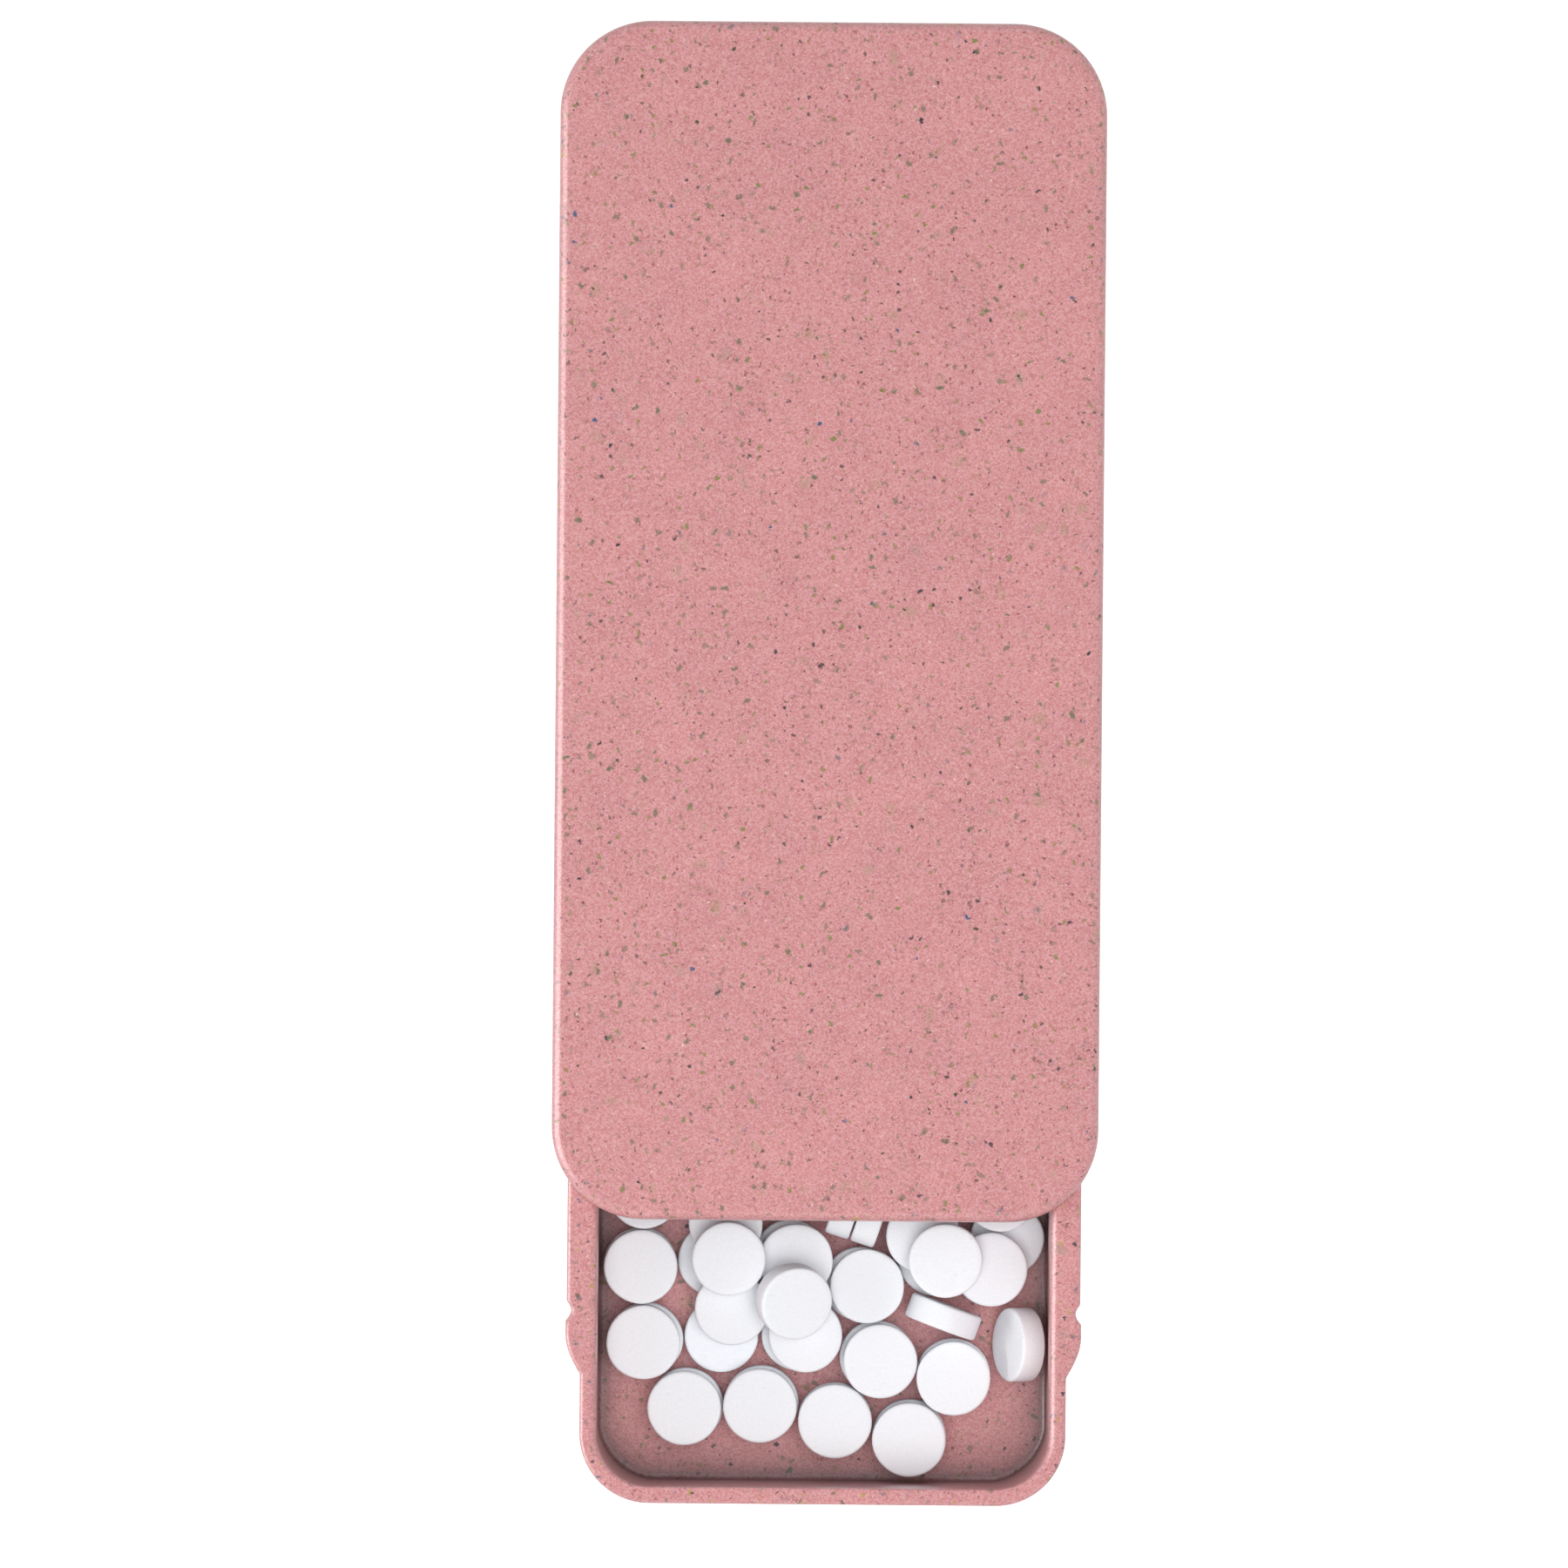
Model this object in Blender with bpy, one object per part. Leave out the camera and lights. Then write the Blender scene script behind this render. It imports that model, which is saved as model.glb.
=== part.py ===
"""Slide-open mint box: a shallow tray with side rails, a lid that runs on them, and loose mints.

Metres, +Z up. The origin is the centre of the tray's underside. +Y runs from the tray's near end,
the end that slides into the open, to the far end. The lid stands partly open, as in use.
"""

import math

import bmesh
import bpy
from mathutils import Euler, Quaternion, Vector

# Tray: an open box with rounded corners
TRAY_LENGTH = 0.0926
TRAY_WIDTH = 0.0390
TRAY_HEIGHT = 0.0124
TRAY_CORNER = 0.0056
TRAY_WALL = 0.00135
TRAY_FLOOR = 0.0012
TRAY_FOOT_ROUND = 0.0015
CAVITY_FOOT_ROUND = 0.0006
RIM_ROUND = 0.00025

# Rails: a flange flush with the rim, round both sides and the far end
RAIL_REACH = 0.0011
RAIL_THICKNESS = 0.0014
RAIL_START = 0.0103
NOSE_LENGTH = 0.0032
NOSE_RISE = 0.00008
NOSE_FLAT = 0.0011
NOTCH_LENGTH = 0.0016
NOTCH_DEPTH = 0.0004
STOP_LENGTH = 0.0022
STOP_RISE = 0.00025
STOP_SPACING = 0.0007

# Lid: a flat panel with a channel along both sides and the far end
LID_PANEL = 0.0014
LID_WALL = 0.0009
LID_CORNER = 0.0074
LID_TOP_ROUND = 0.0006
LID_FOOT_ROUND = 0.0003
LIP_THICKNESS = 0.0010
NUB_REACH = 0.0003
NUB_LENGTH = 0.0009

# Clearances between lid and tray, and how far the tray stands out of the lid
SIDE_CLEARANCE = 0.0004
END_CLEARANCE = 0.0004
TOP_CLEARANCE = 0.0002
RAIL_CLEARANCE = 0.00025
LIP_CLEARANCE = 0.0003
LID_OVERHANG = 0.0010
OPENING = 0.0228

# Mints: flat round tablets, with the gaps that keep them from touching
MINT_DIAMETER = 0.0060
MINT_THICKNESS = 0.0020
MINT_SIDE_GAP = 0.00008
MINT_LAYER_GAP = 0.00015

CUT_OVERRUN = 0.0020
CORNER_STEPS = 8
ROUND_STEPS = 4
BULGE_STEPS = 6
MINT_SIDES = 24
SHARP_ANGLE = math.radians(35)
SETTLE_PASSES = 400

# Places of the flat mints. Across, each is a share of the cavity's half width, from the centre line;
# along, it counts mint diameters from the cavity's near end. The top layer shows most.
FLOOR_LAYER_SHARES = (
    (-0.605, 1.02), (-0.271, 1.06), (0.063, 0.87), (0.390, 0.63),
    (-0.787, 1.90), (-0.453, 1.96), (-0.109, 1.99), (0.225, 1.77), (0.588, 1.44),
    (-0.813, 2.91), (-0.479, 2.98), (-0.139, 3.01), (0.185, 2.79), (0.502, 3.01), (0.813, 3.30),
    (-0.793, 3.93), (-0.456, 4.00), (-0.119, 4.04), (0.582, 3.99),
    (-0.813, 4.98), (-0.430, 5.04), (-0.066, 5.10), (0.324, 4.86), (0.760, 4.92),
    (-0.694, 6.05), (-0.271, 6.16), (0.119, 6.10), (0.529, 5.96), (0.807, 6.60),
    (-0.536, 7.20), (-0.066, 7.38), (0.397, 7.16),
    (-0.760, 8.30), (0.182, 8.62),
)
SECOND_LAYER_SHARES = (
    (-0.615, 0.99), (-0.278, 1.03), (0.056, 0.83), (0.387, 0.59),
    (-0.800, 1.87), (-0.079, 2.00), (0.258, 1.64), (0.592, 1.42),
    (-0.813, 2.89), (-0.407, 2.34), (-0.122, 2.97), (0.195, 2.66), (0.747, 2.78),
    (-0.436, 3.48), (0.446, 3.33), (0.780, 3.79), (-0.800, 3.90),
)
TOP_LAYER_SHARES = ((-0.417, 3.01), (0.542, 3.02))

# One mint rests askew on the second layer: its place as above, and the turn of its upper face
ASKEW_PLACE_SHARES = (-0.136, 2.47)
ASKEW_TILT = math.radians(21)
ASKEW_HEADING = math.radians(-35)

# Mints on edge: place as above, with the heading of the flat sides
EDGE_PLACE_SHARES = (0.536, 2.25)
EDGE_HEADING = math.radians(-20)
PAIR_PLACE_SHARES = (0.162, 3.74)
PAIR_HEADING = math.radians(72)

# One mint leans on the right wall, at this share along and this tilt
LEANING_ALONG_SHARE = 1.88
LEANING_TILT = math.radians(65)

# What follows from the sizes above
tray_half = TRAY_WIDTH / 2
tray_near = -TRAY_LENGTH / 2
tray_far = TRAY_LENGTH / 2
cavity_half = tray_half - TRAY_WALL
cavity_near = tray_near + TRAY_WALL
cavity_far = tray_far - TRAY_WALL
cavity_corner = TRAY_CORNER - TRAY_WALL
rail_half = tray_half + RAIL_REACH
rail_far = tray_far + RAIL_REACH
rail_corner = TRAY_CORNER + RAIL_REACH
rail_under = TRAY_HEIGHT - RAIL_THICKNESS

notch_start = RAIL_START + NOSE_LENGTH + NOSE_FLAT
notch_middle = notch_start + NOTCH_LENGTH / 2
stop_end = rail_far - tray_near - rail_corner - STOP_SPACING
stop_start = stop_end - STOP_LENGTH

lid_length = LID_OVERHANG + TRAY_LENGTH + RAIL_REACH + END_CLEARANCE + LID_WALL
lid_half = rail_half + SIDE_CLEARANCE + LID_WALL
channel_half = rail_half + SIDE_CLEARANCE
channel_corner = LID_CORNER - LID_WALL
channel_top = TRAY_HEIGHT + TOP_CLEARANCE
lip_half = tray_half + LIP_CLEARANCE
lip_top = rail_under - RAIL_CLEARANCE
lip_reach = lid_half - lip_half
lid_bottom = lip_top - LIP_THICKNESS
lid_top = channel_top + LID_PANEL
nub_middle = LID_OVERHANG + notch_middle

mint_radius = MINT_DIAMETER / 2
mint_pitch = MINT_DIAMETER + MINT_SIDE_GAP
layer_pitch = MINT_THICKNESS + MINT_LAYER_GAP
heap_bottom = TRAY_FLOOR + MINT_LAYER_GAP
heap_margin = CAVITY_FOOT_ROUND / 2


def clear_scene():
    """Removes whatever the scene holds."""
    for thing in list(bpy.data.objects):
        bpy.data.objects.remove(thing, do_unlink=True)


def plain_material(name, colour, roughness):
    """A Principled material with one colour."""
    material = bpy.data.materials.new(name)
    material.use_nodes = True
    shader = material.node_tree.nodes["Principled BSDF"]
    shader.inputs["Base Color"].default_value = (*colour, 1.0)
    shader.inputs["Roughness"].default_value = roughness
    shader.inputs["Metallic"].default_value = 0.0
    material.diffuse_color = (*colour, 1.0)
    return material


def add_object(name, mesh, material):
    """Puts a mesh in the scene as a named object, smooth on its round stretches."""
    if not mesh.materials:
        mesh.materials.append(material)
    mesh.shade_smooth()
    mesh.set_sharp_from_angle(angle=SHARP_ANGLE)
    thing = bpy.data.objects.new(name, mesh)
    bpy.context.collection.objects.link(thing)
    return thing


def arc(centre_x, centre_y, radius, start, end):
    """Points along a quarter circle in plan, both ends included."""
    points = []
    for step in range(CORNER_STEPS + 1):
        angle = start + (end - start) * step / CORNER_STEPS
        points.append((centre_x + radius * math.cos(angle), centre_y + radius * math.sin(angle)))
    return points


def closed_outline(near_corner, side, far_corner):
    """The right half from near to far, then its mirror image: anticlockwise seen from above."""
    right = near_corner + side + far_corner
    return right + [(-x, y) for x, y in reversed(right)]


def rounded_outline(half, near, far, corner, side, inset=0.0):
    """A rounded rectangle drawn in by an inset, with its side's own points, each (x, y)."""
    radius = corner - inset
    near_arc = arc(half - corner, near + corner, radius, -math.pi / 2, 0.0)
    far_arc = arc(half - corner, far - corner, radius, 0.0, math.pi / 2)
    return closed_outline(near_arc, [(x - inset, y) for x, y in side], far_arc)


def raise_outline(outline, height):
    """The outline as points at one height."""
    return [(x, y, height) for x, y in outline]


def loft(name, rings):
    """A closed mesh through rings of as many points each, first to last, capped at both ends.

    A point that two rings in a row share becomes one vertex, so a step that fades out closes.
    """
    solid = bmesh.new()
    count = len(rings[0])
    previous = [solid.verts.new(point) for point in rings[0]]
    solid.faces.new(list(reversed(previous)))
    for before, ring in zip(rings, rings[1:]):
        current = []
        for index, point in enumerate(ring):
            same = point == before[index]
            current.append(previous[index] if same else solid.verts.new(point))
        for index in range(count):
            following = (index + 1) % count
            loop = [previous[index], previous[following], current[following], current[index]]
            corners = list(dict.fromkeys(loop))
            if len(corners) > 2:
                solid.faces.new(corners)
        previous = current
    solid.faces.new(previous)
    mesh = bpy.data.meshes.new(name)
    solid.to_mesh(mesh)
    solid.free()
    return mesh


def bulge(start, length, height):
    """Stations along a smooth bulge: (distance from the near end, how far it stands out)."""
    stations = []
    for step in range(BULGE_STEPS + 1):
        share = step / BULGE_STEPS
        stations.append((start + length * share, height * math.sin(math.pi * share) ** 2))
    return stations


def rail_stations():
    """The rail's edge from near to far: (distance from the near end, reach past the tray wall).

    A rounded nose grows out of the wall, then come the notch for the lid's nub, and a stop.
    """
    nose_reach = RAIL_REACH + NOSE_RISE
    stations = []
    for step in range(BULGE_STEPS + 1):
        share = step / BULGE_STEPS
        out = nose_reach * math.sin(math.pi / 2 * share)
        stations.append((RAIL_START + NOSE_LENGTH * share, out))
    for step in range(BULGE_STEPS + 1):
        share = step / BULGE_STEPS
        edge = nose_reach - NOSE_RISE * share
        depth = NOTCH_DEPTH * math.sin(math.pi * share)
        stations.append((notch_start + NOTCH_LENGTH * share, edge - depth))
    for along, out in bulge(stop_start, STOP_LENGTH, STOP_RISE):
        stations.append((along, RAIL_REACH + out))
    return stations


def tray_mesh():
    """The tray in one skin: up its outside, out and up the rail, over the rim, down to the floor."""
    stations = rail_stations()
    wall_side = [(tray_half, tray_near + along) for along, out in stations]
    rail_side = [(tray_half + out, tray_near + along) for along, out in stations]
    cavity_side = [(cavity_half, tray_near + along) for along, out in stations]

    def wall(inset):
        return rounded_outline(tray_half, tray_near, tray_far, TRAY_CORNER, wall_side, inset)

    def cavity(inset):
        return rounded_outline(
            cavity_half, cavity_near, cavity_far, cavity_corner, cavity_side, inset
        )

    def rail(inset):
        near = arc(
            tray_half - TRAY_CORNER, tray_near + TRAY_CORNER, TRAY_CORNER - inset, -math.pi / 2, 0.0
        )
        far = arc(
            rail_half - rail_corner, rail_far - rail_corner, rail_corner - inset, 0.0, math.pi / 2
        )
        return closed_outline(near, [(x - inset, y) for x, y in rail_side], far)

    rings = []
    for step in range(ROUND_STEPS + 1):
        angle = math.pi / 2 * step / ROUND_STEPS
        inset = TRAY_FOOT_ROUND * (1.0 - math.sin(angle))
        height = TRAY_FOOT_ROUND * (1.0 - math.cos(angle))
        rings.append(raise_outline(wall(inset), height))
    rings.append(raise_outline(wall(0.0), rail_under))
    rings.append(raise_outline(rail(0.0), rail_under))
    rings.append(raise_outline(rail(0.0), TRAY_HEIGHT - RIM_ROUND))
    rings.append(raise_outline(rail(RIM_ROUND), TRAY_HEIGHT))
    rings.append(raise_outline(cavity(-RIM_ROUND), TRAY_HEIGHT))
    rings.append(raise_outline(cavity(0.0), TRAY_HEIGHT - RIM_ROUND))
    for step in range(ROUND_STEPS + 1):
        angle = math.pi / 2 * step / ROUND_STEPS
        inset = CAVITY_FOOT_ROUND * (1.0 - math.cos(angle))
        height = TRAY_FLOOR + CAVITY_FOOT_ROUND * (1.0 - math.sin(angle))
        rings.append(raise_outline(cavity(inset), height))
    return loft("tray", rings)


def lid_body_mesh():
    """The lid before its channel is cut: a rounded plate, from its leading end at y = 0."""

    def edge(inset):
        return rounded_outline(lid_half, 0.0, lid_length, LID_CORNER, [], inset)

    rings = [
        raise_outline(edge(LID_FOOT_ROUND), lid_bottom),
        raise_outline(edge(0.0), lid_bottom + LID_FOOT_ROUND),
    ]
    for step in range(ROUND_STEPS + 1):
        angle = math.pi / 2 * step / ROUND_STEPS
        inset = LID_TOP_ROUND * (1.0 - math.cos(angle))
        height = lid_top - LID_TOP_ROUND * (1.0 - math.sin(angle))
        rings.append(raise_outline(edge(inset), height))
    return loft("lid", rings)


def lid_channel_mesh():
    """The space the tray runs in, open at the leading end: between the lips, and above them."""
    far = lid_length - LID_WALL
    start = [(channel_half, -CUT_OVERRUN)]
    nub_start = nub_middle - NUB_LENGTH / 2
    nub = [(channel_half - out, along) for along, out in bulge(nub_start, NUB_LENGTH, NUB_REACH)]
    upper_far = arc(
        channel_half - channel_corner, far - channel_corner, channel_corner, 0.0, math.pi / 2
    )
    upper = closed_outline(start, nub, upper_far)

    lip_corner = LID_CORNER - lip_reach
    lip_far = lid_length - lip_reach
    lip_start = [(lip_half, -CUT_OVERRUN)]
    lip_side = [(lip_half, along) for across, along in nub]
    lower_far = arc(lip_half - lip_corner, lip_far - lip_corner, lip_corner, 0.0, math.pi / 2)
    lower = closed_outline(lip_start, lip_side, lower_far)
    return loft(
        "lid_channel",
        [
            raise_outline(lower, lid_bottom - CUT_OVERRUN),
            raise_outline(lower, lip_top),
            raise_outline(upper, lip_top),
            raise_outline(upper, channel_top),
        ],
    )


def make_tray(material):
    """The tray, which stands on its underside."""
    return add_object("tray", tray_mesh(), material)


def make_lid(material):
    """The lid, whose origin lies at its leading end, and the hidden cutter of its channel."""
    lid = add_object("lid", lid_body_mesh(), material)
    lid.location = (0.0, tray_near + OPENING, 0.0)
    channel = add_object("lid_channel", lid_channel_mesh(), material)
    channel.parent = lid
    channel.hide_render = True
    channel.display_type = "WIRE"
    cut = lid.modifiers.new("channel", "BOOLEAN")
    cut.operation = "DIFFERENCE"
    cut.solver = "EXACT"
    cut.object = channel
    return lid


def mint_mesh():
    """One mint, flat, about its own middle."""
    disc = bmesh.new()
    bmesh.ops.create_cone(
        disc, cap_ends=True, segments=MINT_SIDES, radius1=mint_radius, radius2=mint_radius,
        depth=MINT_THICKNESS,
    )
    mesh = bpy.data.meshes.new("mint")
    disc.to_mesh(mesh)
    disc.free()
    return mesh


def push_apart(first, second, least):
    """Moves two places in plan apart, half each, until they are at least this far from another."""
    between = second - first
    distance = between.length
    if distance < least:
        step = between.normalized() * (least - distance) / 2
        first -= step
        second += step


def push_off_block(place, block):
    """Moves a place in plan until a mint there clears an upright block, also from inside it."""
    middle, heading, half_length, half_depth = block
    forward = Vector((math.cos(heading), math.sin(heading)))
    sideways = Vector((-forward.y, forward.x))
    offset = place - middle
    along = max(-half_length, min(half_length, offset.dot(forward)))
    across = max(-half_depth, min(half_depth, offset.dot(sideways)))
    nearest = middle + forward * along + sideways * across
    away = place - nearest
    least = mint_radius + MINT_SIDE_GAP
    if away.length < least:
        direction = away if away.length > 0.0 else offset
        place += direction.normalized() * (least - away.length)


def keep_in_cavity(place):
    """Draws a place in plan inside the cavity's rounded walls, a mint's radius off them."""
    inset = mint_radius + heap_margin
    core = max(cavity_corner, inset)
    half = cavity_half - core
    nearest = Vector((
        max(-half, min(half, place.x)),
        max(cavity_near + core, min(cavity_far - core, place.y)),
    ))
    away = place - nearest
    most = core - inset
    if away.length > most:
        place -= away.normalized() * (away.length - most)


def place_in_plan(shares):
    """A place in plan from its share across the cavity and its mint diameters along it."""
    across, along = shares
    return Vector((across * cavity_half, cavity_near + along * MINT_DIAMETER))


def settle(layer_shares, blocks, pitch):
    """Places of one layer of mints, shuffled apart until none meets another or a wall."""
    places = [place_in_plan(shares) for shares in layer_shares]
    for _ in range(SETTLE_PASSES):
        for index, first in enumerate(places):
            for second in places[index + 1:]:
                push_apart(first, second, pitch)
        for place in places:
            for block in blocks:
                push_off_block(place, block)
            keep_in_cavity(place)
    return places


def upright_turn(heading):
    """The rotation of a mint on edge, its flat sides along the heading."""
    return Euler((math.pi / 2, 0.0, heading)).to_quaternion()


def heap():
    """Every mint's centre and rotation, floor layer first."""
    leaning_half = mint_radius * math.cos(LEANING_TILT) + MINT_THICKNESS / 2 * math.sin(LEANING_TILT)
    leaning_rise = mint_radius * math.sin(LEANING_TILT) + MINT_THICKNESS / 2 * math.cos(LEANING_TILT)
    leaning = Vector((
        cavity_half - MINT_LAYER_GAP - leaning_half,
        cavity_near + LEANING_ALONG_SHARE * MINT_DIAMETER,
    ))
    edge = place_in_plan(EDGE_PLACE_SHARES)
    edge_reach = mint_radius * math.cos(EDGE_HEADING) - MINT_THICKNESS / 2 * math.sin(EDGE_HEADING)
    edge.x = min(edge.x, leaning.x - leaning_half - MINT_LAYER_GAP - edge_reach)
    pair = place_in_plan(PAIR_PLACE_SHARES)
    pair_half = MINT_THICKNESS + MINT_LAYER_GAP / 2
    blocks = [
        (leaning, math.pi / 2, mint_radius, leaning_half),
        (edge, EDGE_HEADING, mint_radius, MINT_THICKNESS / 2),
        (pair, PAIR_HEADING, mint_radius, pair_half),
    ]

    askew_reach = mint_radius * math.cos(ASKEW_TILT) + MINT_THICKNESS / 2 * math.sin(ASKEW_TILT)
    top_pitch = mint_pitch + max(0.0, askew_reach - mint_radius)
    top_layer = (ASKEW_PLACE_SHARES,) + TOP_LAYER_SHARES
    layers = (
        (FLOOR_LAYER_SHARES, mint_pitch),
        (SECOND_LAYER_SHARES, mint_pitch),
        (top_layer, top_pitch),
    )
    mints = []
    for level, (layer_shares, pitch) in enumerate(layers):
        middle = heap_bottom + layer_pitch * level + MINT_THICKNESS / 2
        for place in settle(layer_shares, blocks, pitch):
            mints.append((Vector((place.x, place.y, middle)), Quaternion()))

    askew_index = len(FLOOR_LAYER_SHARES) + len(SECOND_LAYER_SHARES)
    askew_rise = mint_radius * math.sin(ASKEW_TILT) + MINT_THICKNESS / 2 * math.cos(ASKEW_TILT)
    askew_centre = mints[askew_index][0]
    askew_centre.z = heap_bottom + layer_pitch * 2 + askew_rise
    face = Vector((
        math.sin(ASKEW_TILT) * math.cos(ASKEW_HEADING),
        math.sin(ASKEW_TILT) * math.sin(ASKEW_HEADING),
        math.cos(ASKEW_TILT),
    ))
    mints[askew_index] = (askew_centre, face.to_track_quat("Z", "Y"))

    standing = heap_bottom + mint_radius
    mints.append((Vector((edge.x, edge.y, standing)), upright_turn(EDGE_HEADING)))
    sideways = Vector((-math.sin(PAIR_HEADING), math.cos(PAIR_HEADING)))
    for side in (-1, 1):
        place = pair + sideways * side * layer_pitch / 2
        mints.append((Vector((place.x, place.y, standing)), upright_turn(PAIR_HEADING)))
    lean = Euler((0.0, -LEANING_TILT, 0.0)).to_quaternion()
    mints.append((Vector((leaning.x, leaning.y, heap_bottom + leaning_rise)), lean))
    return mints


def make_mints(material):
    """One object for each mint, all with the same mesh."""
    mesh = mint_mesh()
    for number, (centre, turn) in enumerate(heap(), start=1):
        mint = add_object(f"mint_{number:02d}", mesh, material)
        mint.location = centre
        mint.rotation_mode = "QUATERNION"
        mint.rotation_quaternion = turn


def main():
    clear_scene()
    pink = plain_material("speckled pink straw composite", (0.66, 0.33, 0.34), 0.55)
    white = plain_material("pressed white mint", (0.88, 0.88, 0.90), 0.70)
    make_tray(pink)
    make_lid(pink)
    make_mints(white)


main()
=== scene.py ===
# %% [markdown]
# # A slide-open mint box
#
# The real box is two mouldings of speckled straw composite. A shallow tray carries two side rails, and
# a flat lid slides along them. Loose pressed mints lie in the tray. The photograph looks straight down
# on the box, with the lid pushed back so that the near end of the tray stands open.
#
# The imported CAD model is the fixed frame. It gives each piece its size and place, so the finer skins
# made here never have to be fitted by eye.

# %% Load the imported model
import math

import bmesh
import bpy
import numpy as np
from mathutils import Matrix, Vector


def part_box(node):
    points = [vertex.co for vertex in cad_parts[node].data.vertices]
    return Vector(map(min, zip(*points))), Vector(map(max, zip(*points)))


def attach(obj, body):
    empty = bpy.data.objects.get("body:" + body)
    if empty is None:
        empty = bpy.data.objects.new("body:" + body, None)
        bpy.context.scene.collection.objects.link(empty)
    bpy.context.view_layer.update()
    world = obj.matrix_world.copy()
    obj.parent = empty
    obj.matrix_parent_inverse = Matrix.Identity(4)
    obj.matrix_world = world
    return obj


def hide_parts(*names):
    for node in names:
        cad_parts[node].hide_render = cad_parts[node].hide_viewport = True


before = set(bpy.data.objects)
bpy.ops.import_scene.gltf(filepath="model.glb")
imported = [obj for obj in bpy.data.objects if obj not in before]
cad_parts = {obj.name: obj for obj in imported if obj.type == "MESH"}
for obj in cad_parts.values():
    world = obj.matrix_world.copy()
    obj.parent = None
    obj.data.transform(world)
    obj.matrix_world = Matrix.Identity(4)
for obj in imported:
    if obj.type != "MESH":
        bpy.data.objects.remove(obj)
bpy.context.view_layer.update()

MM = 0.001

# %% [markdown]
# ## Sizes
#
# A designer draws the tray from one outline: the outer wall. The rail, the rim and the cavity all
# follow it at a constant distance. The same idea keeps this file short. One outline with outward
# normals is enough, and every ring of the skin is that outline moved in or out. The widths of the
# wall, the rail and the rounds are the numbers that a moulding drawing would show.

# %% Measure the tray
TRAY_CORNER = 5.6 * MM
TRAY_WALL = 1.35 * MM
TRAY_FLOOR = 1.2 * MM
RAIL_REACH = 1.1 * MM
RAIL_THICKNESS = 1.4 * MM
STOP_RISE = 0.25 * MM

tray_low, tray_high = (np.array(corner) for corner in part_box("tray"))
tray_half = tray_high[0] - STOP_RISE - RAIL_REACH
tray_near = tray_low[1]
tray_far = tray_high[1] - RAIL_REACH
tray_top = tray_high[2]
print(f"tray wall: {2 * tray_half / MM:.1f} x {(tray_far - tray_near) / MM:.1f} x {tray_top / MM:.1f} mm")

# %% Measure the lid
LID_CORNER = 7.4 * MM
LID_WALL = 0.9 * MM
LID_PANEL = 1.4 * MM
LIP_REACH = 2.1 * MM
LIP_THICKNESS = 1.0 * MM

lid_low, lid_high = (np.array(corner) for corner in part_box("lid"))
print(f"lid: {(lid_high - lid_low)[0] / MM:.1f} x {(lid_high - lid_low)[1] / MM:.1f} mm")

# %% [markdown]
# ## From rings to a skin
#
# A moulded shell has no edges that are truly sharp, and its small rounds are what catch the light.
# They could come from a Bevel modifier, but a bevel gives every edge the same width. Here each round
# is a quarter circle in the section, so the rim, the foot and the lid's edge each get their own.

# %% Outlines and sections
ARC_STEPS = 24
END_POINTS = 5


def quarter(start):
    """Angles of a quarter turn in even steps, from its start."""
    return np.linspace(start, start + math.pi / 2, ARC_STEPS + 1)


def rounded_outline(half, near, far, near_corner, far_corner, side):
    """A rounded rectangle, anticlockwise from above: its points and its outward normals.

    A corner's points are its centre plus radius times (cos a, sin a), and its normals are
    (cos a, sin a). The side runs straight at x = half, through the y values it is given. The left
    half is the right half mirrored in x = 0.
    """
    near_turn, far_turn = quarter(-math.pi / 2), quarter(0.0)
    ends = np.linspace(0.0, 1.0, END_POINTS + 1)[:-1]
    near_flat = np.column_stack([ends * (half - near_corner), np.full(END_POINTS, near)])
    far_flat = np.column_stack([ends[::-1] * (half - far_corner), np.full(END_POINTS, far)])
    near_facing = np.column_stack([np.cos(near_turn), np.sin(near_turn)])
    far_facing = np.column_stack([np.cos(far_turn), np.sin(far_turn)])
    near_arc = (half - near_corner, near + near_corner) + near_corner * near_facing
    far_arc = (half - far_corner, far - far_corner) + far_corner * far_facing
    straight = np.column_stack([np.full(len(side), half), side])
    right = np.vstack([near_flat, near_arc, straight, far_arc, far_flat])
    facing = np.vstack([
        np.tile((0.0, -1.0), (END_POINTS, 1)), near_facing, np.tile((1.0, 0.0), (len(side), 1)),
        far_facing, np.tile((0.0, 1.0), (END_POINTS, 1)),
    ])
    mirror = np.array((-1.0, 1.0))
    return (
        np.vstack([right, right[-2:0:-1] * mirror]),
        np.vstack([facing, facing[-2:0:-1] * mirror]),
    )


def ring(outline, out, height):
    """The outline moved outwards along its normals, at a height. Both may differ from point to point."""
    points, normals = outline
    moved = points + normals * np.reshape(out, (-1, 1))
    return np.column_stack([moved, np.broadcast_to(height, len(points))])


def round_section(radius, steps):
    """A quarter circle in the section, from upright to flat, as rows of (inward, up).

    Inward is the radius times 1 - cos t and up is the radius times sin t, for t over a quarter turn.
    With a radius of 1 the rows are shares of a round that differs from point to point.
    """
    turn = np.linspace(0.0, math.pi / 2, steps + 1)
    return np.column_stack([radius * (1.0 - np.cos(turn)), radius * np.sin(turn)])


# %% A skin through rings
SHARP_ANGLE = math.radians(35)
SAME_POINT = 0.0001 * MM
# The name of the attribute that carries painted shade on the tray's inside.
SHADE_ATTRIBUTE = "painted_shade"


def merge_doubles(mesh):
    """Joins points that fall together, to a tenth of a micrometre."""
    sheet = bmesh.new()
    sheet.from_mesh(mesh)
    bmesh.ops.remove_doubles(sheet, verts=sheet.verts, dist=SAME_POINT)
    sheet.to_mesh(mesh)
    sheet.free()


def shaded(mesh):
    """Smooth shading that keeps the true corners, which turn more than the sharp angle."""
    mesh.shade_smooth()
    mesh.set_sharp_from_angle(angle=SHARP_ANGLE)
    return mesh


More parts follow.
